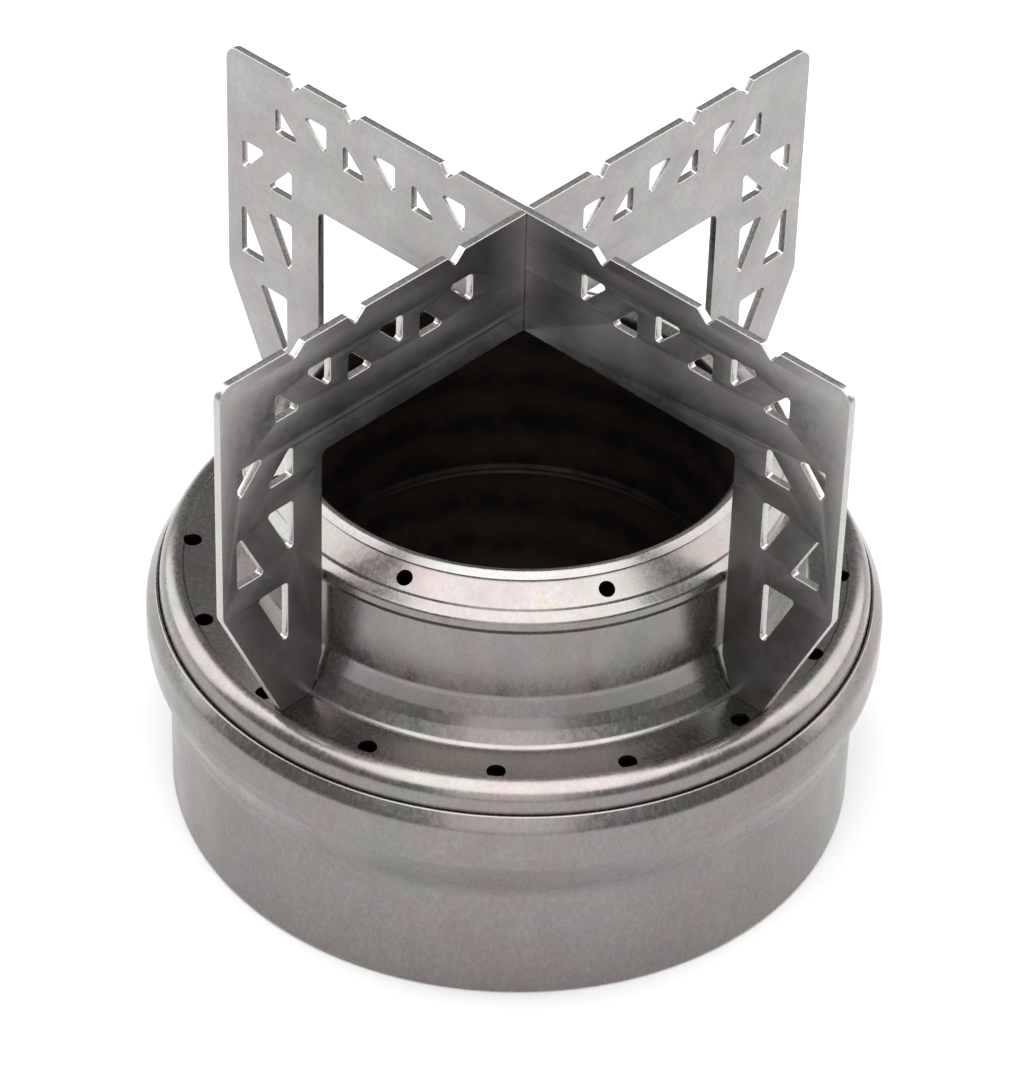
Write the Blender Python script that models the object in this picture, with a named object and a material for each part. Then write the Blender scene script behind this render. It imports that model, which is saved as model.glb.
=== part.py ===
"""A small spirit burner pressed from thin titanium sheet, with a pot stand of two slotted plates.

The burner is three turned shells: a cup, an upper shell that carries the jets, and an inner
wall that makes the fuel bowl. The stand is two plates that cross in half-height slots.

Metres, +Z up, origin at the centre of the burner's underside. The stand plates lie along X and
Y. The functions below that take a profile or an outline work in millimetres.
"""

import math

import bmesh
import bpy
from mathutils import Matrix, Vector

MM = 0.001

# Burner, all in mm.
WALL = 0.4
BODY_RADIUS = 33.3
BELT_RADIUS = 35.5
BURNER_HEIGHT = 42.0
FLANGE_Z = 25.7
NECK_RADIUS = 25.8
MOUTH_RADIUS = 21.0
GAP = 0.3
SEGMENTS = 48

BODY_CORNER_RADIUS = 0.6
FLARE_FOOT_Z = 12.1
BELT_FOOT_Z = 19.0
BELT_TOP_Z = 20.4
LIP_RADIUS = 34.7
LIP_Z = 23.2
LIP_CURL_RADIUS = 1.6

SKIRT_FOOT_Z = 18.2
SKIRT_RADIUS = BELT_RADIUS - WALL - GAP - 0.1
RIM_FOOT_RADIUS = 33.9
RIM_RADIUS = 34.0
RIM_Z = 23.9
RIM_INNER_RADIUS = 32.1
FILLET_RADIUS = 28.0
FILLET_MIDDLE = (27.2, 26.1)
CONE_FOOT = (26.8, 27.0)
NECK_FOOT_Z = 29.6
NECK_TOP_Z = 37.6
BEAD_RADIUS = 26.15
BEAD_FOOT_Z = 38.2
BEAD_TOP_Z = 38.9
SHOULDER_RADIUS = 25.0
SHOULDER_Z = 39.6
SHOULDER_TOP_RADIUS = 22.6
SHOULDER_TOP_Z = 41.2
SHELL_MOUTH = (MOUTH_RADIUS + 2 * WALL + GAP, SHOULDER_TOP_Z + 0.1)

# The inner wall's folded lip, as (radius, z) points, below and then above.
LIP_UNDERSIDE = ((MOUTH_RADIUS + WALL, 40.9), (22.0, 41.6), (23.0, 41.35))
LIP_TOPSIDE = ((23.2, 41.7), (22.3, BURNER_HEIGHT), (21.4, 41.7), (MOUTH_RADIUS, 41.0))

# Jets: a ring of vertical holes in the flange and a ring of sloping ones in the shoulder.
JET_PHASE = math.radians(-27.3)
LOWER_JETS = 16
LOWER_JET_RADIUS = 31.2
LOWER_JET_DIAMETER = 1.8
UPPER_JETS = 8
UPPER_JET_RADIUS = 24.0
UPPER_JET_DIAMETER = 1.5
JET_SIDES = 8
JET_CUT_DEPTH = 3.0
FUEL_NOTCHES = 6
FUEL_NOTCH_WIDTH = 3.0
FUEL_NOTCH_HEIGHT = 2.0
FUEL_NOTCH_CUT_DEPTH = 4.0

# Pot stand, in mm. Outline distances are from the burner's axis and down from the top edge.
STAND_TOP_Z = 66.3
PLATE_THICKNESS = 0.8
HALF_SPAN = 39.0
BEAM_DEPTH = 13.15
LEG_INNER = 26.5
CHAMFER_DROP = 25.6
FOOT_OUTER = 31.8
FOOT_INNER = 27.9
FOOT_DROP = STAND_TOP_Z - FLANGE_Z - GAP
CLEARANCE_DROP = 36.6
SLOT_WIDTH = PLATE_THICKNESS + 2 * GAP
SLOT_DEPTH = BEAM_DEPTH / 2 + GAP / 2
TIP_RADIUS = 1.5
ARCH_RADIUS = 0.8
HOLE_RADIUS = 0.3
CORNER_STEPS = 2
SHARP = 0.0

NOTCH_CENTRES = (9.75, 22.4, 29.9)
NOTCH_DEPTH = 1.25
NOTCH_INNER_WIDTH = 1.3
NOTCH_OUTER_WIDTH = 0.9

# Lightening holes, each a right triangle: two alternating rows in the beam, then five in the leg.
TRIANGLE_PAIRS = 3
TRIANGLE_PITCH = 9.05
FALLING_INNER = 7.4
FALLING_TOP = 3.2
RISING_OUTER = 14.2
RISING_TOP = 3.7
TRIANGLE_SIZE = 3.2
LEG_HOLES = (
    ((30.2, 10.2), (33.5, 13.8), (30.2, 13.8)),
    ((33.7, 9.9), (36.9, 9.9), (36.9, 13.4)),
    ((30.2, 16.7), (33.4, 16.7), (30.2, 22.9)),
    ((37.1, 16.7), (37.1, 23.0), (33.8, 23.0)),
    ((30.9, 25.7), (34.6, 25.7), (30.9, 33.2)),
)

TITANIUM = (0.42, 0.41, 0.39, 1.0)
TITANIUM_ROUGHNESS = 0.32
SOOTED_TITANIUM = (0.12, 0.115, 0.11, 1.0)
SOOTED_ROUGHNESS = 0.45
SMOOTH_ANGLE = math.radians(35)

# Below this a point counts as on the axis, and above the other a mitre isn't stretched further.
ON_AXIS = 1e-6
MITRE_LIMIT = 0.5


def clear_scene():
    """Removes every object that the file opens with."""
    for thing in list(bpy.data.objects):
        bpy.data.objects.remove(thing, do_unlink=True)


def metal(name, colour, roughness):
    """A plain metallic material."""
    made = bpy.data.materials.new(name)
    made.use_nodes = True
    shader = made.node_tree.nodes["Principled BSDF"]
    shader.inputs["Base Color"].default_value = colour
    shader.inputs["Roughness"].default_value = roughness
    shader.inputs["Metallic"].default_value = 1.0
    return made


def arc(start, end, centre, steps):
    """Points after start up to end, on the ellipse round centre whose axes are radius and height."""
    width = max(abs(start[0] - centre[0]), abs(end[0] - centre[0]))
    height = max(abs(start[1] - centre[1]), abs(end[1] - centre[1]))
    first = math.atan2((start[1] - centre[1]) / height, (start[0] - centre[0]) / width)
    last = math.atan2((end[1] - centre[1]) / height, (end[0] - centre[0]) / width)
    angles = [first + (last - first) * step / steps for step in range(1, steps + 1)]
    return [(centre[0] + width * math.cos(a), centre[1] + height * math.sin(a)) for a in angles]


def bulge(foot, top, steps):
    """Points after foot up to top, on the circle that ends upright at top and passes foot."""
    side = top[0] - foot[0]
    rise = top[1] - foot[1]
    radius = (side * side + rise * rise) / (2 * side)
    heights = [foot[1] + rise * step / steps for step in range(1, steps + 1)]
    return [(top[0] - radius + math.sqrt(radius**2 - (top[1] - z) ** 2), z) for z in heights]


def offset_inside(outer, distance):
    """The same profile moved by distance to its left, which is the sheet's inner face."""
    moved = []
    for index, (radius, z) in enumerate(outer):
        before = Vector(outer[max(index - 1, 0)])
        after = Vector(outer[min(index + 1, len(outer) - 1)])
        here = Vector((radius, z))
        sides = [(b - a).normalized() for a, b in ((before, here), (here, after)) if a != b]
        along = sum(sides, Vector((0.0, 0.0))).normalized()
        stretch = 1 / max(along.dot(sides[0]), MITRE_LIMIT)
        moved.append((radius - along.y * distance * stretch, z + along.x * distance * stretch))
    return moved


def named_object(name, mesh, material):
    """Links a mesh as an object, shaded smooth except at its real edges."""
    mesh.materials.append(material)
    mesh.shade_smooth()
    mesh.set_sharp_from_angle(angle=SMOOTH_ANGLE)
    made = bpy.data.objects.new(name, mesh)
    bpy.context.scene.collection.objects.link(made)
    return made


def turned(name, loop, material):
    """A solid of revolution about Z from a closed loop of (radius, z) points in mm."""
    work = bmesh.new()
    rings = []
    for radius, z in loop:
        if radius < ON_AXIS:
            rings.append([work.verts.new((0, 0, z * MM))] * SEGMENTS)
            continue
        angles = [math.tau * step / SEGMENTS for step in range(SEGMENTS)]
        corners = [(radius * math.cos(a) * MM, radius * math.sin(a) * MM, z * MM) for a in angles]
        rings.append([work.verts.new(corner) for corner in corners])
    for lower, upper in zip(rings, rings[1:] + rings[:1]):
        for step in range(SEGMENTS):
            after = (step + 1) % SEGMENTS
            corners = dict.fromkeys((lower[step], lower[after], upper[after], upper[step]))
            if len(corners) > 2:
                work.faces.new(list(corners))
    bmesh.ops.recalc_face_normals(work, faces=work.faces)
    mesh = bpy.data.meshes.new(name)
    work.to_mesh(mesh)
    work.free()
    return named_object(name, mesh, material)


def cut(piece, cutter):
    """Takes the cutter out of the piece, and hides the cutter."""
    cutter.hide_render = True
    cutter.display_type = "WIRE"
    change = piece.modifiers.new("cut_" + cutter.name, "BOOLEAN")
    change.operation = "DIFFERENCE"
    change.object = cutter


def cutter_object(name, work):
    """Turns a finished bmesh into a cutter."""
    bmesh.ops.recalc_face_normals(work, faces=work.faces)
    mesh = bpy.data.meshes.new(name)
    work.to_mesh(mesh)
    work.free()
    made = bpy.data.objects.new(name, mesh)
    bpy.context.scene.collection.objects.link(made)
    return made


def base_cup(material):
    """The fuel cup: flat floor, upright wall, and a belt at its top that grips the upper shell."""
    corner = (BODY_RADIUS - BODY_CORNER_RADIUS, BODY_CORNER_RADIUS)
    outer = [(0, 0), (corner[0], 0)]
    outer += arc(outer[-1], (BODY_RADIUS, BODY_CORNER_RADIUS), corner, 3)
    outer.append((BODY_RADIUS, FLARE_FOOT_Z))
    outer += bulge(outer[-1], (BELT_RADIUS, BELT_FOOT_Z), 4)
    outer.append((BELT_RADIUS, BELT_TOP_Z))
    lip_centre = (LIP_RADIUS - LIP_CURL_RADIUS, BELT_TOP_Z)
    outer += arc(outer[-1], (LIP_RADIUS, LIP_Z), lip_centre, 3)
    return turned("base_cup", outer + offset_inside(outer, WALL)[::-1], material)


def shell_outer():
    """The upper shell's outer face, from the foot of its skirt up to its mouth."""
    outer = [(SKIRT_RADIUS, SKIRT_FOOT_Z), (SKIRT_RADIUS, BELT_TOP_Z), (RIM_FOOT_RADIUS, LIP_Z)]
    outer.append((RIM_RADIUS, RIM_Z))
    outer += arc(outer[-1], (RIM_INNER_RADIUS, FLANGE_Z), (RIM_INNER_RADIUS, RIM_Z), 4)
    outer.append((FILLET_RADIUS, FLANGE_Z))
    outer += [FILLET_MIDDLE, CONE_FOOT, (NECK_RADIUS, NECK_FOOT_Z), (NECK_RADIUS, NECK_TOP_Z)]
    outer += [(BEAD_RADIUS, BEAD_FOOT_Z), (BEAD_RADIUS, BEAD_TOP_Z)]
    outer += [(SHOULDER_RADIUS, SHOULDER_Z), (SHOULDER_TOP_RADIUS, SHOULDER_TOP_Z)]
    outer.append(SHELL_MOUTH)
    return outer


def jet_cutters():
    """One closed prism for each jet, upright in the flange and square to the shoulder above."""
    work = bmesh.new()
    slope = math.atan2(SHOULDER_TOP_Z - SHOULDER_Z, SHOULDER_RADIUS - SHOULDER_TOP_RADIUS)
    cone_z = SHOULDER_Z + (SHOULDER_RADIUS - UPPER_JET_RADIUS) * math.tan(slope)
    rings = (
        (LOWER_JETS, LOWER_JET_RADIUS, FLANGE_Z, LOWER_JET_DIAMETER, 0.0),
        (UPPER_JETS, UPPER_JET_RADIUS, cone_z, UPPER_JET_DIAMETER, slope),
    )
    for count, radius, z, diameter, tilt in rings:
        for index in range(count):
            turn = Matrix.Rotation(JET_PHASE + math.tau * index / count, 4, "Z")
            shift = Matrix.Translation((radius * MM, 0, z * MM))
            lean = Matrix.Rotation(tilt, 4, "Y")
            bmesh.ops.create_cone(
                work,
                cap_ends=True,
                segments=JET_SIDES,
                radius1=diameter / 2 * MM,
                radius2=diameter / 2 * MM,
                depth=JET_CUT_DEPTH * MM,
                matrix=turn @ shift @ lean,
            )
    return cutter_object("jet_cutters", work)


def upper_shell(material):
    """The flange, neck and shoulder in one pressing, with both rings of jets."""
    outer = shell_outer()
    shell = turned("upper_shell", outer + offset_inside(outer, WALL)[::-1], material)
    cut(shell, jet_cutters())
    return shell


def inner_wall(material):
    """The bowl's wall: it stands on the floor, and its lip folds out over the shell's mouth."""
    foot_z = WALL + GAP
    loop = [(MOUTH_RADIUS + WALL, foot_z), *LIP_UNDERSIDE, *LIP_TOPSIDE, (MOUTH_RADIUS, foot_z)]
    wall = turned("inner_wall", loop, material)
    work = bmesh.new()
    for index in range(FUEL_NOTCHES):
        turn = Matrix.Rotation(math.tau * (index + 0.5) / FUEL_NOTCHES, 4, "Z")
        shift = Matrix.Translation((MOUTH_RADIUS * MM, 0, foot_z * MM))
        size = Vector((FUEL_NOTCH_CUT_DEPTH, FUEL_NOTCH_WIDTH, 2 * FUEL_NOTCH_HEIGHT)) * MM
        block = Matrix.Diagonal((*size, 1))
        bmesh.ops.create_cube(work, size=1.0, matrix=turn @ shift @ block)
    cut(wall, cutter_object("notch_cutters", work))
    return wall


def rounded(corners):
    """The corners of a polygon, each (u, drop, radius), with an arc in place of each round one."""
    points = []
    count = len(corners)
    for index, (u, drop, radius) in enumerate(corners):
        here = Vector((u, drop))
        if radius == SHARP:
            points.append(here)
            continue
        back = (Vector(corners[index - 1][:2]) - here).normalized()
        ahead = (Vector(corners[(index + 1) % count][:2]) - here).normalized()
        half = back.angle(ahead) / 2
        centre = here + (back + ahead).normalized() * radius / math.sin(half)
        reach = radius / math.tan(half)
        first = here + back * reach - centre
        last = here + ahead * reach - centre
        turn = first.angle_signed(last)
        for step in range(CORNER_STEPS + 1):
            spoke = first.copy()
            spoke.rotate(Matrix.Rotation(-turn * step / CORNER_STEPS, 2))
            points.append(centre + spoke)
    return points


def half_outline():
    """Corners of the plate's right half, from the top at the slot round to the arch."""
    corners = []
    for centre in NOTCH_CENTRES:
        corners.append((centre - NOTCH_INNER_WIDTH, 0, SHARP))
        corners.append((centre, NOTCH_DEPTH, HOLE_RADIUS))
        corners.append((centre + NOTCH_OUTER_WIDTH, 0, SHARP))
    corners.append((HALF_SPAN, 0, TIP_RADIUS))
    corners.append((HALF_SPAN, CHAMFER_DROP, TIP_RADIUS))
    corners.append((FOOT_OUTER, FOOT_DROP, HOLE_RADIUS))
    corners.append((FOOT_INNER, FOOT_DROP, HOLE_RADIUS))
    corners.append((LEG_INNER, CLEARANCE_DROP, TIP_RADIUS))
    corners.append((LEG_INNER, BEAM_DEPTH, ARCH_RADIUS))
    return corners


def half_holes():
    """The lightening holes of the right half, each a right triangle of (u, drop) corners."""
    holes = []
    for index in range(TRIANGLE_PAIRS):
        left = FALLING_INNER + TRIANGLE_PITCH * index
        low = FALLING_TOP + TRIANGLE_SIZE
        holes.append(((left, FALLING_TOP), (left + TRIANGLE_SIZE, FALLING_TOP), (left, low)))
        right = RISING_OUTER + TRIANGLE_PITCH * index
        low = RISING_TOP + TRIANGLE_SIZE
        holes.append(((right, RISING_TOP), (right, low), (right - TRIANGLE_SIZE, low)))
    holes += LEG_HOLES
    return holes


def mirrored(corners):
    """The same corners on the other side of the axis, in the opposite order."""
    return [(-corner[0], *corner[1:]) for corner in corners][::-1]


def stand_plate(name, turn_degrees, slot_is_at_top, material):
    """One plate of the pot stand, upright through the axis, with its half of the cross joint."""
    half_slot = SLOT_WIDTH / 2
    top_slot = [(half_slot, SLOT_DEPTH, SHARP), (half_slot, 0, SHARP)]
    low_slot = [(half_slot, BEAM_DEPTH, SHARP), (half_slot, BEAM_DEPTH - SLOT_DEPTH, SHARP)]
    right = half_outline()
    right = top_slot + right if slot_is_at_top else right + low_slot
    loops = [rounded(right + mirrored(right))]
    for hole in half_holes():
        corners = [(*corner, HOLE_RADIUS) for corner in hole]
        loops += [rounded(corners), rounded(mirrored(corners))]
    shape = bpy.data.curves.new(name, "CURVE")
    shape.dimensions = "2D"
    shape.fill_mode = "BOTH"
    shape.extrude = PLATE_THICKNESS / 2 * MM
    for loop in loops:
        spline = shape.splines.new("POLY")
        spline.points.add(len(loop) - 1)
        for point, (u, drop) in zip(spline.points, loop):
            point.co = (u * MM, -drop * MM, 0, 1)
        spline.use_cyclic_u = True
    shape.materials.append(material)
    plate = bpy.data.objects.new(name, shape)
    plate.location = (0, 0, STAND_TOP_Z * MM)
    plate.rotation_euler = (math.radians(90), 0, math.radians(turn_degrees))
    bpy.context.scene.collection.objects.link(plate)
    return plate


def build():
    """Makes the whole object."""
    clear_scene()
    satin = metal("satin_titanium", TITANIUM, TITANIUM_ROUGHNESS)
    sooted = metal("sooted_titanium", SOOTED_TITANIUM, SOOTED_ROUGHNESS)
    base_cup(satin)
    upper_shell(satin)
    inner_wall(sooted)
    stand_plate("stand_plate_lower", 90, True, satin)
    stand_plate("stand_plate_upper", 0, False, satin)


build()
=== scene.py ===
"""Looks for a pressed titanium spirit burner with a pot stand of two crossed plates.

Each CAD node is replaced by a finer mesh of the same sheet: turned shells with rounded edges and
drilled jets, and stamped plates with eased edges. Profiles and outlines are in millimetres and
are scaled by MM when a mesh is made; other lengths are in metres.
"""

import math

import bmesh
import bpy
from mathutils import Matrix, Vector


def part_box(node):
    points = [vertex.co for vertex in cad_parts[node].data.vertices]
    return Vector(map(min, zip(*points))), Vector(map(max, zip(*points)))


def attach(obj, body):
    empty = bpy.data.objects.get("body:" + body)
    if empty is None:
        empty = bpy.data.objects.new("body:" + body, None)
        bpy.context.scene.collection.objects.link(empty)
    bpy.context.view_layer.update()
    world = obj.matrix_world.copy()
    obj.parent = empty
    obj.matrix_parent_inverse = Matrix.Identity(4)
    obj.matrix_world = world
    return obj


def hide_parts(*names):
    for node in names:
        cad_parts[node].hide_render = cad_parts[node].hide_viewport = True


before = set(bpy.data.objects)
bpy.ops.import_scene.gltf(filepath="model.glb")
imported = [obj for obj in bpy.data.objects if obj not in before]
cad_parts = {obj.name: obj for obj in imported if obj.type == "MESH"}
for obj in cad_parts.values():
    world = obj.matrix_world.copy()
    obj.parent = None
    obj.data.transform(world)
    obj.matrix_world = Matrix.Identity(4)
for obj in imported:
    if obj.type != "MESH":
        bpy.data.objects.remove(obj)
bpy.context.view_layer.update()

MM = 0.001
SHARP = 0.0

# Heights and radii that the frame gives, in mm.
STAND_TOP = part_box("stand_plate_upper")[1].z / MM
HALF_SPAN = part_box("stand_plate_upper")[1].x / MM
BELT_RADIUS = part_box("base_cup")[1].x / MM
MOUTH_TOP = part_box("inner_wall")[1].z / MM

# Burner sheet and its turned shapes, in mm.
WALL = 0.4
BOWL_WALL = 0.3
BODY_RADIUS = 33.3
FLANGE_Z = 25.75
RIM_Z = 25.95
NECK_RADIUS = 25.8
MOUTH_RADIUS = 21.0
TURN_STEPS = 192
ARC_STEP = math.radians(12)
EDGE_STEPS = 6
ON_AXIS = 1e-6
TURNED_CREASE = 40

JET_PHASE = math.radians(-27.3)
LOWER_JETS = 16
LOWER_JET_RADIUS = 31.1
LOWER_JET_DIAMETER = 1.8
UPPER_JETS = 8
UPPER_JET_RADIUS = 24.0
UPPER_JET_Z = 40.55
UPPER_JET_DIAMETER = 1.55
SHOULDER_SLOPE = math.radians(37)
JET_SIDES = 40
JET_DRILL_DEPTH = 2.4

FUEL_NOTCHES = 6
FUEL_NOTCH_Z = 0.5
FUEL_NOTCH_CUT = (4, 3, 4)

# Stand plates, in mm: distances out from the axis and down from the top edge.
PLATE_THICKNESS = 0.8
PLATE_EASE = 0.07
EASE_STEPS = 2
FLAT_SIDE = 0.999
PLATE_CREASE = 50
WELD_DISTANCE = 1e-7
BEAM_DEPTH = 13.15
LEG_INNER = 26.5
CHAMFER_DROP = 25.6
FOOT_OUTER = 31.8
FOOT_INNER = 27.9
FOOT_GAP = 0.05
FOOT_DROP = STAND_TOP - FLANGE_Z - FOOT_GAP
CLEARANCE_DROP = 36.6
SLOT_WIDTH = 0.9
SLOT_PLAY = 0.05
SLOT_DEPTH = BEAM_DEPTH / 2 + SLOT_PLAY
SLOT_CORNER = 0.15
TIP_RADIUS = 1.5
ARCH_RADIUS = 0.8
HOLE_RADIUS = 0.32
NOTCH_CENTRES = (9.75, 22.4, 29.9)
NOTCH_DEPTH = 1.25
NOTCH_INNER_WIDTH = 1.3
NOTCH_OUTER_WIDTH = 0.9
NOTCH_CORNER = 0.15
TRIANGLE_PAIRS = 3
TRIANGLE_PITCH = 9.05
FALLING_INNER = 7.4
FALLING_TOP = 3.2
RISING_OUTER = 14.2
RISING_TOP = 3.7
TRIANGLE_SIZE = 3.2
LEG_HOLES = (
    ((30.2, 10.2), (33.5, 13.8), (30.2, 13.8)),
    ((33.7, 9.9), (36.9, 9.9), (36.9, 13.4)),
    ((30.2, 16.7), (33.4, 16.7), (30.2, 22.9)),
    ((37.1, 16.7), (37.1, 23.0), (33.8, 23.0)),
    ((30.9, 25.7), (34.6, 25.7), (30.9, 33.2)),
)

# Material colours, as linear red, green and blue.
BURNER_GREY = (0.222, 0.209, 0.203)
SHOULDER_BROWN = (0.19, 0.155, 0.15, 1.0)
PLATE_GREY = (0.33, 0.324, 0.321)
# Painted shade for the stand's two front arms, standing in for the dark reflections they show.
ARM_PAINTED_SHADE = (0.060, 0.055, 0.053, 1.0)
CUT_GREY = (0.45, 0.442, 0.435)
LIP_GREY = (0.25, 0.241, 0.235)
BURNT_LOW = (0.030, 0.026, 0.0235, 1.0)
BURNT_HIGH = (0.062, 0.050, 0.043, 1.0)
BURNT_DUST = (0.095, 0.078, 0.066, 1.0)
FLOOR_LOW = (0.62, 0.62, 0.62, 1.0)
FLOOR_HIGH = (0.64, 0.64, 0.64, 1.0)
OXIDE_STOPS = (
    (0.34, (0.86, 0.98, 0.90)),
    (0.44, (1.0, 0.97, 0.93)),
    (0.52, (1.0, 0.90, 0.90)),
    (0.60, (0.97, 0.96, 1.0)),
    (0.68, (1.0, 0.97, 0.88)),
)
SPECKLE_LOW = 0.86
SPECKLE_HIGH = 1.14
CLOUD_TONE = 0.84

# Where materials change, in metres: each pair is the start and the end of a blend.
SHOULDER_STAIN_Z = (0.0388, 0.0402)
BURNT_EDGE_Z = (0.0405, 0.0411)
BURNT_EDGE_WANDER = 0.0002
# The arm blends below place the painted shade on the two front arms of the stand.
ARM_PAINTED_SHADE_SIDE = (0.0003, 0.006)
ARM_PAINTED_SHADE_END = (0.074, 0.089)
ARM_PAINTED_SHADE_HEIGHT_SHARE = 0.8

# The band of a noise pattern's values that is stretched over a whole blend.
NOISE_BAND = (0.3, 0.7)
TIGHT_BAND = (0.35, 0.65)

# Lights: name, place and side in metres, and power in watts.
LIGHTS = (
    ("overhead", (0.15, -0.16, 1.0), 1.5, 27.0),
    ("front", (0.60, -0.65, 0.36), 0.6, 1.7),
    ("side_left", (-0.84, -0.22, 0.5), 0.9, 8.4),
    ("side_right", (0.31, 0.81, 0.5), 0.9, 7.4),
)
LIGHT_AIM = (0.0, 0.0, 0.03)
WORLD_STRENGTH = 0.32
FLOOR_REACH = 3.0

# Camera, in metres and degrees, with its lens and sensor in mm.
VIEW_AZIMUTH = 42.54
VIEW_ELEVATION = 38.43
VIEW_ROLL = 1.72
VIEW_DISTANCE = 0.46417
VIEW_TARGET_Z = 0.02918
VIEW_TARGET_SIDE = -0.00109
VIEW_LENS = 162.07
VIEW_SHIFT_X = 0.00948
VIEW_SHIFT_Y = -0.00988
VIEW_SENSOR = 36.0
VIEW_CLIP_START = 0.01


# ---------------------------------------------------------------- outlines and meshes


def rounded(corners, closed=True):
    """Points along corners given as (a, b, radius), with an arc wherever the radius isn't SHARP."""
    points = []
    count = len(corners)
    for index, (a, b, radius) in enumerate(corners):
        here = Vector((a, b))
        is_end = not closed and index in (0, count - 1)
        if radius == SHARP or is_end:
            points.append(here)
            continue
        back = (Vector(corners[index - 1][:2]) - here).normalized()
        ahead = (Vector(corners[(index + 1) % count][:2]) - here).normalized()
        half = back.angle(ahead) / 2
        centre = here + (back + ahead).normalized() * radius / math.sin(half)
        reach = radius / math.tan(half)
        first = here + back * reach - centre
        turn = first.angle_signed(here + ahead * reach - centre)
        steps = max(2, math.ceil(abs(turn) / ARC_STEP))
        for step in range(steps + 1):
            spoke = first.copy()
            spoke.rotate(Matrix.Rotation(-turn * step / steps, 2))
            points.append(centre + spoke)
    return points


def sheet_section(path, wall):
    """A closed section: the path, then its offset to the left by wall, with a round far edge."""
    normals = []
    for index, here in enumerate(path):
        before = path[max(index - 1, 0)]
        after = path[min(index + 1, len(path) - 1)]
        along = (after - before).normalized()
        normals.append(Vector((-along.y, along.x)))
    inner = [point + normal * wall for point, normal in zip(path, normals)]
    middle = (path[-1] + inner[-1]) / 2
    along = Vector((normals[-1].y, -normals[-1].x))
    edge = []
    for step in range(1, EDGE_STEPS):
        angle = math.pi * step / EDGE_STEPS
        edge.append(middle - normals[-1] * wall / 2 * math.cos(angle)
                    + along * wall / 2 * math.sin(angle))
    return path + edge + inner[::-1]


def turned(name, path, wall, material):
    """A turned sheet: the path in (radius, z) mm is its shown face, and wall is its thickness."""
    loop = sheet_section(path, wall)
    work = bmesh.new()
    rings = []
    for radius, z in loop:
        if radius < ON_AXIS:
            rings.append([work.verts.new((0, 0, z * MM))] * TURN_STEPS)
            continue
        ring = []
        for step in range(TURN_STEPS):
            angle = math.tau * step / TURN_STEPS
            ring.append(work.verts.new((radius * math.cos(angle) * MM,
                                        radius * math.sin(angle) * MM, z * MM)))
        rings.append(ring)
    for lower, upper in zip(rings, rings[1:] + rings[:1]):
        for step in range(TURN_STEPS):
            after = (step + 1) % TURN_STEPS
            corners = dict.fromkeys((lower[step], lower[after], upper[after], upper[step]))
            if len(corners) > 2:
                work.faces.new(list(corners))
    bmesh.ops.recalc_face_normals(work, faces=work.faces)
    sheet = linked(name, work)
    sheet.data.materials.append(material)
    return sheet


def linked(name, work):
    """Writes a bmesh to a new object in the scene."""
    mesh = bpy.data.meshes.new(name)
    work.to_mesh(mesh)
    work.free()
    made = bpy.data.objects.new(name, mesh)
    bpy.context.scene.collection.objects.link(made)
    return made


def baked(piece):
    """Applies the piece's modifiers, and returns it."""
    graph = bpy.context.evaluated_depsgraph_get()
    mesh = bpy.data.meshes.new_from_object(piece.evaluated_get(graph))
    piece.modifiers.clear()
    piece.data = mesh
    return piece


def cut(piece, cutter):
    """Takes the cutter out of the piece for good."""
    change = piece.modifiers.new("cut", "BOOLEAN")
    change.operation = "DIFFERENCE"
    change.object = cutter
    baked(piece)
    bpy.data.objects.remove(cutter)
    return piece


def smooth(piece, degrees):
    """Shades the piece smooth, apart from edges sharper than this."""
    piece.data.shade_smooth()
    piece.data.set_sharp_from_angle(angle=math.radians(degrees))
    even = piece.modifiers.new("even_normals", "WEIGHTED_NORMAL")
    even.keep_sharp = True
    return baked(piece)


def jet_drills():
    """One prism for each jet: upright through the flange, square to the slope on the shoulder."""
    work = bmesh.new()
    rings = (
        (LOWER_JETS, LOWER_JET_RADIUS, FLANGE_Z, LOWER_JET_DIAMETER, 0.0),
        (UPPER_JETS, UPPER_JET_RADIUS, UPPER_JET_Z, UPPER_JET_DIAMETER, SHOULDER_SLOPE),
    )
    for count, radius, z, diameter, tilt in rings:
        for index in range(count):
            turn = Matrix.Rotation(JET_PHASE + math.tau * index / count, 4, "Z")
            shift = Matrix.Translation((radius * MM, 0, z * MM))
            lean = Matrix.Rotation(tilt, 4, "Y")
            bmesh.ops.create_cone(
                work,
                cap_ends=True,
                segments=JET_SIDES,
                radius1=diameter / 2 * MM,
                radius2=diameter / 2 * MM,
                depth=JET_DRILL_DEPTH * MM,
                matrix=turn @ shift @ lean,
            )
    return linked("jet_drills", work)


# ---------------------------------------------------------------- materials


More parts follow.
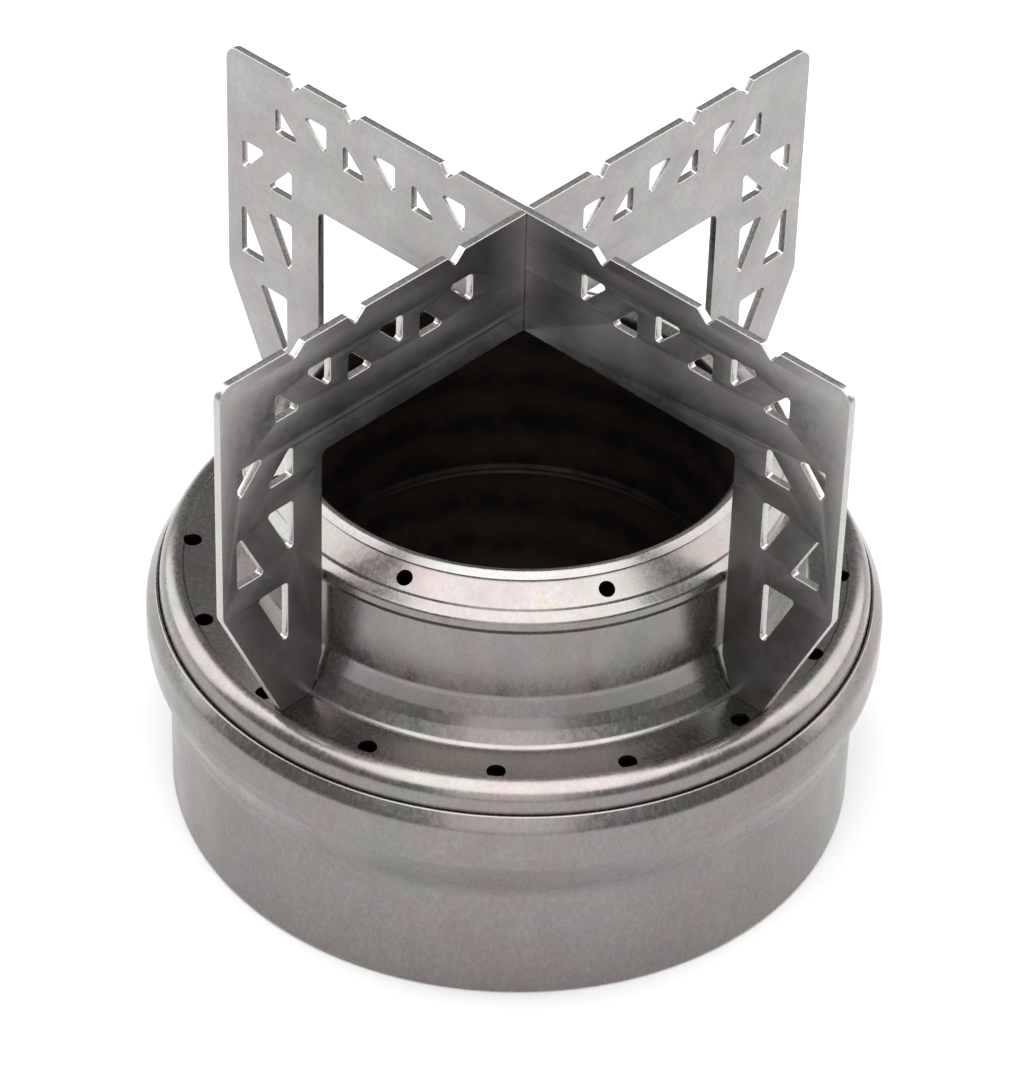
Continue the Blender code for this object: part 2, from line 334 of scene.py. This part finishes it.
class Nodes:
    """A short way to add and join the nodes of one material."""

    def __init__(self, name):
        self.material = bpy.data.materials.new(name)
        self.material.use_nodes = True
        self.tree = self.material.node_tree
        self.shader = self.tree.nodes["Principled BSDF"]
        self.place = self.add("ShaderNodeTexCoord").outputs["Object"]

    def add(self, kind, **settings):
        node = self.tree.nodes.new(kind)
        for key, value in settings.items():
            setattr(node, key, value)
        return node

    def join(self, source, target):
        self.tree.links.new(source, target)

    def stretched(self, scale):
        """The object's coordinates, scaled apart along each axis."""
        node = self.add("ShaderNodeMapping")
        node.inputs["Scale"].default_value = scale
        self.join(self.place, node.inputs["Vector"])
        return node.outputs["Vector"]

    def noise(self, scale, detail, roughness, place=None, distortion=0.0):
        node = self.add("ShaderNodeTexNoise")
        node.inputs["Scale"].default_value = scale
        node.inputs["Detail"].default_value = detail
        node.inputs["Roughness"].default_value = roughness
        node.inputs["Distortion"].default_value = distortion
        self.join(place or self.place, node.inputs["Vector"])
        return node.outputs["Fac"]

    def ranged(self, source, low, high, to_low, to_high):
        node = self.add("ShaderNodeMapRange")
        node.inputs["From Min"].default_value = low
        node.inputs["From Max"].default_value = high
        node.inputs["To Min"].default_value = to_low
        node.inputs["To Max"].default_value = to_high
        self.join(source, node.inputs["Value"])
        return node.outputs["Result"]

    def maths(self, operation, first, second=None):
        node = self.add("ShaderNodeMath", operation=operation)
        for socket, value in zip(node.inputs, (first, second)):
            if isinstance(value, (int, float)):
                socket.default_value = value
            elif value is not None:
                self.join(value, socket)
        return node.outputs["Value"]

    def mixed(self, amount, first, second, blend="MIX"):
        node = self.add("ShaderNodeMix", data_type="RGBA", blend_type=blend)
        for socket, value in ((node.inputs["Factor"], amount), (node.inputs[6], first),
                              (node.inputs[7], second)):
            if isinstance(value, (int, float, tuple)):
                socket.default_value = value
            else:
                self.join(value, socket)
        return node.outputs[2]

    def ramp(self, source, stops):
        node = self.add("ShaderNodeValToRGB")
        elements = node.color_ramp.elements
        while len(elements) < len(stops):
            elements.new(0.5)
        for element, (position, colour) in zip(elements, stops):
            element.position = position
            element.color = (*colour, 1.0)
        self.join(source, node.inputs["Fac"])
        return node.outputs["Color"]

    def axes(self):
        """The X, Y and Z coordinates, in metres."""
        split = self.add("ShaderNodeSeparateXYZ")
        self.join(self.place, split.inputs["Vector"])
        return split.outputs["X"], split.outputs["Y"], split.outputs["Z"]

    def bump(self, height, distance, strength=1.0, below=None):
        node = self.add("ShaderNodeBump")
        node.inputs["Distance"].default_value = distance
        node.inputs["Strength"].default_value = strength
        self.join(height, node.inputs["Height"])
        if below is not None:
            self.join(below, node.inputs["Normal"])
        return node.outputs["Normal"]


def titanium(name, colour, roughness, grain, relief, tint, stretch=1.0):
    """Satin titanium: fine speckle, soft waviness, and faint patches of oxide colour."""
    made = Nodes(name)
    place = made.stretched((1.0, 1.0, stretch))
    speckle = made.noise(grain, detail=4.0, roughness=0.7, place=place)
    cloud = made.noise(grain / 9, detail=3.0, roughness=0.6, place=place)
    patches = made.noise(95.0, detail=2.5, roughness=0.5, place=place, distortion=0.6)
    base = made.mixed(made.ranged(speckle, *NOISE_BAND, 0.0, 1.0),
                      (*[SPECKLE_LOW * part for part in colour], 1.0),
                      (*[SPECKLE_HIGH * part for part in colour], 1.0))
    base = made.mixed(made.ranged(cloud, *TIGHT_BAND, 0.0, 0.35), base,
                      (*[CLOUD_TONE * part for part in colour], 1.0))
    base = made.mixed(tint, base, made.ramp(patches, OXIDE_STOPS), "MULTIPLY")
    made.join(base, made.shader.inputs["Base Color"])
    made.shader.inputs["Metallic"].default_value = 1.0
    rough = made.maths("ADD", made.ranged(cloud, *NOISE_BAND, -0.04, 0.05),
                       made.ranged(speckle, *NOISE_BAND, roughness - 0.06, roughness + 0.06))
    made.join(rough, made.shader.inputs["Roughness"])
    waves = made.noise(130.0, detail=2.0, roughness=0.5)
    wave = made.bump(waves, distance=0.00012, strength=0.35)
    grained = made.bump(speckle, distance=relief, strength=0.5, below=wave)
    made.join(grained, made.shader.inputs["Normal"])
    return made


def recoloured(made, amount, colour):
    """Blends a colour into the material's base colour by this amount, and returns the material."""
    base = made.shader.inputs["Base Color"].links[0].from_socket
    made.join(made.mixed(amount, base, colour), made.shader.inputs["Base Color"])
    return made.material


def burner_titanium():
    """Grained grey for the cup and the upper shell, with brown blotches on the shoulder."""
    made = titanium("burner_titanium", BURNER_GREY, roughness=0.26, grain=2200.0,
                    relief=0.000012, tint=0.75, stretch=0.6)
    _, _, height = made.axes()
    shoulder = made.ranged(height, *SHOULDER_STAIN_Z, 0.0, 1.0)
    blotch = made.noise(170.0, detail=3.0, roughness=0.6)
    blotch = made.ranged(blotch, 0.53, 0.66, 0.0, 0.6)
    return recoloured(made, made.maths("MULTIPLY", shoulder, blotch), SHOULDER_BROWN)


def plate_titanium():
    """Rolled sheet, smoother than the burner, with painted shade on the two arms on +X and -Y.

    Those arms look dark in the photo, and the darkening stands in for that. It is on both sides
    of both arms, from the axis outwards, and fades out at the upper outer corner.
    """
    made = titanium("plate_titanium", PLATE_GREY, roughness=0.42, grain=1600.0,
                    relief=0.000003, tint=0.35)
    x, y, height = made.axes()
    radius = made.maths("SQRT", made.maths("ADD", made.maths("MULTIPLY", x, x),
                                           made.maths("MULTIPLY", y, y)))
    # Painted shade: darkens the +X and -Y arms in place of the dark reflections they show.
    front = made.ranged(made.maths("SUBTRACT", x, y), *ARM_PAINTED_SHADE_SIDE, 0.0, 1.0)
    corner = made.maths("ADD", radius, made.maths("MULTIPLY", height, ARM_PAINTED_SHADE_HEIGHT_SHARE))
    near = made.ranged(corner, *ARM_PAINTED_SHADE_END, 1.0, 0.0)
    cloud = made.ranged(made.noise(75.0, detail=3.0, roughness=0.55), 0.35, 0.7, 0.62, 0.92)
    amount = made.maths("MULTIPLY", made.maths("MULTIPLY", front, near), cloud)
    return recoloured(made, amount, ARM_PAINTED_SHADE)


def cut_titanium():
    """The plates' cut edges: bright bare metal with fine marks."""
    return titanium("cut_titanium", CUT_GREY, roughness=0.3, grain=3000.0,
                    relief=0.000006, tint=0.3).material


def bowl_titanium():
    """The bowl's wall: burnt near black below the lip, clean grey on it."""
    made = titanium("bowl_titanium", LIP_GREY, roughness=0.28, grain=2200.0,
                    relief=0.000012, tint=0.5)
    _, _, height = made.axes()
    soot = made.noise(420.0, detail=4.0, roughness=0.65)
    wander = made.ranged(soot, *NOISE_BAND, -BURNT_EDGE_WANDER, BURNT_EDGE_WANDER)
    burnt = made.ranged(made.maths("ADD", height, wander), *BURNT_EDGE_Z, 1.0, 0.0)
    rings = made.add("ShaderNodeTexWave", wave_type="BANDS", bands_direction="Z")
    rings.inputs["Scale"].default_value = 60.0
    rings.inputs["Distortion"].default_value = 3.0
    made.join(made.place, rings.inputs["Vector"])
    dark = made.mixed(rings.outputs["Fac"], BURNT_LOW, BURNT_HIGH)
    dark = made.mixed(made.ranged(soot, 0.45, 0.75, 0.0, 0.5), dark, BURNT_DUST)
    rough = made.shader.inputs["Roughness"].links[0].from_socket
    made.join(made.maths("ADD", rough, made.maths("MULTIPLY", burnt, 0.2)),
              made.shader.inputs["Roughness"])
    return recoloured(made, burnt, dark)


def floor_white():
    """A pale matte sweep with a barely visible mottle."""
    made = Nodes("floor_white")
    mottle = made.noise(14.0, detail=2.0, roughness=0.5)
    base = made.mixed(made.ranged(mottle, *NOISE_BAND, 0.0, 1.0), FLOOR_LOW, FLOOR_HIGH)
    made.join(base, made.shader.inputs["Base Color"])
    made.shader.inputs["Roughness"].default_value = 0.9
    made.shader.inputs["Specular IOR Level"].default_value = 0.1
    return made.material


# ---------------------------------------------------------------- pieces


def finished(piece, node, body):
    """Registers a finished piece with the frame."""
    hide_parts(node)
    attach(piece, body)


def base_cup(material):
    """The cup: flat floor, upright wall, flare, and the belt whose lip grips the upper shell."""
    path = rounded((
        (0, 0, SHARP),
        (BODY_RADIUS, 0, 0.6),
        (BODY_RADIUS, 12.8, 4.0),
        (35.3, 17.5, 2.5),
        (BELT_RADIUS - 0.06, 18.7, 0.4),
        (BELT_RADIUS, 18.85, 0.2),
        (BELT_RADIUS, 21.9, 1.8),
        (34.6, 23.2, SHARP),
    ), closed=False)
    cup = turned("cup_shell", path, WALL, material)
    finished(smooth(cup, TURNED_CREASE), "base_cup", "burner")


def upper_shell(material):
    """The flange with its rounded rim, the neck, the bead and the sloping shoulder."""
    path = rounded((
        (34.75, 18.4, SHARP),
        (34.75, 20.9, 1.5),
        (34.2, 22.85, 0.4),
        (34.05, RIM_Z, 1.9),
        (31.95, RIM_Z, 0.3),
        (31.75, FLANGE_Z, 0.3),
        (27.95, FLANGE_Z, 0.8),
        (26.95, 27.1, 0.8),
        (26.45, 28.2, 2.0),
        (NECK_RADIUS, 30.0, 2.0),
        (NECK_RADIUS, 37.6, 0.4),
        (26.2, 38.25, 0.4),
        (26.1, 39.1, 0.5),
        (25.1, 39.6, 0.3),
        (24.95, 39.85, 0.3),
        (22.3, 41.65, 0.5),
        (21.9, 41.7, SHARP),
    ), closed=False)
    shell = turned("jet_shell", path, WALL, material)
    cut(shell, jet_drills())
    finished(smooth(shell, TURNED_CREASE), "upper_shell", "burner")


def inner_wall(material):
    """The bowl's wall: a lip folded over the mouth, a shallow ring, and fuel notches below."""
    path = rounded((
        (22.95, 41.62, SHARP),
        (22.25, MOUTH_TOP + 0.05, 0.5),
        (21.75, MOUTH_TOP, 0.5),
        (MOUTH_RADIUS, 41.0, 1.0),
        (MOUTH_RADIUS, 21.0, 0.5),
        (20.7, 20.4, 0.4),
        (MOUTH_RADIUS, 19.8, 0.5),
        (MOUTH_RADIUS, 0.5, SHARP),
    ), closed=False)
    wall = turned("bowl_wall", path, BOWL_WALL, material)
    work = bmesh.new()
    for index in range(FUEL_NOTCHES):
        turn = Matrix.Rotation(math.tau * (index + 0.5) / FUEL_NOTCHES, 4, "Z")
        shift = Matrix.Translation((MOUTH_RADIUS * MM, 0, FUEL_NOTCH_Z * MM))
        size = Matrix.Diagonal((*[side * MM for side in FUEL_NOTCH_CUT], 1))
        bmesh.ops.create_cube(work, size=1.0, matrix=turn @ shift @ size)
    cut(wall, linked("notch_drills", work))
    finished(smooth(wall, TURNED_CREASE), "inner_wall", "burner")


def half_outline():
    """Corners of a plate's right half, from the top at the slot round to the arch."""
    corners = []
    for centre in NOTCH_CENTRES:
        corners.append((centre - NOTCH_INNER_WIDTH, 0, NOTCH_CORNER))
        corners.append((centre, NOTCH_DEPTH, HOLE_RADIUS))
        corners.append((centre + NOTCH_OUTER_WIDTH, 0, NOTCH_CORNER))
    corners.append((HALF_SPAN, 0, TIP_RADIUS))
    corners.append((HALF_SPAN, CHAMFER_DROP, TIP_RADIUS))
    corners.append((FOOT_OUTER, FOOT_DROP, HOLE_RADIUS))
    corners.append((FOOT_INNER, FOOT_DROP, HOLE_RADIUS))
    corners.append((LEG_INNER, CLEARANCE_DROP, TIP_RADIUS))
    corners.append((LEG_INNER, BEAM_DEPTH, ARCH_RADIUS))
    return corners


def half_holes():
    """The right half's lightening holes, each a right triangle of (out, down) corners."""
    holes = []
    for index in range(TRIANGLE_PAIRS):
        left = FALLING_INNER + TRIANGLE_PITCH * index
        low = FALLING_TOP + TRIANGLE_SIZE
        holes.append(((left, FALLING_TOP), (left + TRIANGLE_SIZE, FALLING_TOP), (left, low)))
        right = RISING_OUTER + TRIANGLE_PITCH * index
        low = RISING_TOP + TRIANGLE_SIZE
        holes.append(((right, RISING_TOP), (right, low), (right - TRIANGLE_SIZE, low)))
    holes += LEG_HOLES
    return holes


def mirrored(corners):
    """The same corners on the other side of the axis, in the opposite order."""
    return [(-corner[0], *corner[1:]) for corner in corners][::-1]


def stand_plate(name, node, body, turn_degrees, slot_is_at_top, material, edge):
    """One stamped plate of the pot stand, with eased edges, upright through the axis."""
    half_slot = SLOT_WIDTH / 2
    top_slot = [(half_slot, SLOT_DEPTH, SHARP), (half_slot, 0, SLOT_CORNER)]
    low_slot = [(half_slot, BEAM_DEPTH, SLOT_CORNER), (half_slot, BEAM_DEPTH - SLOT_DEPTH, SHARP)]
    right = half_outline()
    right = top_slot + right if slot_is_at_top else right + low_slot
    loops = [rounded(right + mirrored(right))]
    for hole in half_holes():
        corners = [(*corner, HOLE_RADIUS) for corner in hole]
        loops += [rounded(corners), rounded(mirrored(corners))]
    shape = bpy.data.curves.new(name, "CURVE")
    shape.dimensions = "2D"
    shape.fill_mode = "BOTH"
    shape.extrude = (PLATE_THICKNESS / 2 - PLATE_EASE) * MM
    shape.bevel_depth = PLATE_EASE * MM
    shape.bevel_resolution = EASE_STEPS
    shape.offset = -PLATE_EASE * MM
    for loop in loops:
        spline = shape.splines.new("POLY")
        spline.points.add(len(loop) - 1)
        for point, (out, down) in zip(spline.points, loop):
            point.co = (out * MM, -down * MM, 0, 1)
        spline.use_cyclic_u = True
    drawn = bpy.data.objects.new(name + "_drawn", shape)
    bpy.context.scene.collection.objects.link(drawn)
    graph = bpy.context.evaluated_depsgraph_get()
    mesh = bpy.data.meshes.new_from_object(drawn.evaluated_get(graph))
    bpy.data.objects.remove(drawn)
    upright = Matrix.Rotation(math.radians(90), 4, "X")
    turn = Matrix.Rotation(math.radians(turn_degrees), 4, "Z")
    mesh.transform(turn @ Matrix.Translation((0, 0, STAND_TOP * MM)) @ upright)
    work = bmesh.new()
    work.from_mesh(mesh)
    bmesh.ops.remove_doubles(work, verts=work.verts, dist=WELD_DISTANCE)
    bmesh.ops.recalc_face_normals(work, faces=work.faces)
    plate = linked(name, work)
    plate.data.materials.append(material)
    plate.data.materials.append(edge)
    plate.data.shade_smooth()
    for face in plate.data.polygons:
        side = face.normal.y if turn_degrees == 0 else face.normal.x
        face.use_smooth = abs(side) < FLAT_SIDE
        face.material_index = int(face.use_smooth)
    plate.data.set_sharp_from_angle(angle=math.radians(PLATE_CREASE))
    finished(plate, node, body)


# ---------------------------------------------------------------- stage


def add_floor():
    """A wide pale floor."""
    work = bmesh.new()
    bmesh.ops.create_grid(work, x_segments=8, y_segments=8, size=FLOOR_REACH)
    floor = linked("floor", work)
    floor.data.materials.append(floor_white())


def add_area(name, place, size, power):
    """A square soft light at place, turned to face LIGHT_AIM."""
    data = bpy.data.lights.new(name, "AREA")
    data.size = size
    data.energy = power
    light = bpy.data.objects.new(name, data)
    light.location = place
    light.rotation_euler = (Vector(LIGHT_AIM) - Vector(place)).to_track_quat("-Z", "Y").to_euler()
    bpy.context.scene.collection.objects.link(light)


def add_world():
    """Even pale surroundings."""
    world = bpy.data.worlds.new("studio")
    bpy.context.scene.world = world
    world.use_nodes = True
    back = world.node_tree.nodes["Background"]
    back.inputs["Color"].default_value = (1.0, 1.0, 1.0, 1.0)
    back.inputs["Strength"].default_value = WORLD_STRENGTH


def add_camera():
    """The camera, on its measured line of sight and with its small roll."""
    azimuth = math.radians(VIEW_AZIMUTH)
    elevation = math.radians(VIEW_ELEVATION)
    roll = math.radians(VIEW_ROLL)
    back = Vector((math.sin(azimuth) * math.cos(elevation),
                   -math.cos(azimuth) * math.cos(elevation), math.sin(elevation)))
    right = Vector((math.cos(azimuth), math.sin(azimuth), 0))
    up = back.cross(right)
    across = right * math.cos(roll) + up * math.sin(roll)
    upward = up * math.cos(roll) - right * math.sin(roll)
    place = Vector((0, 0, VIEW_TARGET_Z)) + right * VIEW_TARGET_SIDE + back * VIEW_DISTANCE
    data = bpy.data.cameras.new("camera")
    data.lens = VIEW_LENS
    data.sensor_width = VIEW_SENSOR
    data.shift_x = VIEW_SHIFT_X
    data.shift_y = VIEW_SHIFT_Y
    data.clip_start = VIEW_CLIP_START
    camera = bpy.data.objects.new("camera", data)
    turn = Matrix((across, upward, back)).transposed()
    camera.matrix_world = Matrix.Translation(place) @ turn.to_4x4()
    bpy.context.scene.collection.objects.link(camera)
    bpy.context.scene.camera = camera


def build():
    """Makes every piece, then the stage."""
    shell = burner_titanium()
    base_cup(shell)
    upper_shell(shell)
    inner_wall(bowl_titanium())
    sheet = plate_titanium()
    edge = cut_titanium()
    stand_plate("lower_plate", "stand_plate_lower", "stand_lower", 90, True, sheet, edge)
    stand_plate("upper_plate", "stand_plate_upper", "stand_upper", 0, False, sheet, edge)
    add_floor()
    add_world()
    for light in LIGHTS:
        add_area(*light)
    add_camera()
    bpy.context.scene.view_settings.view_transform = "Standard"


build()

bpy.context.view_layer.update()
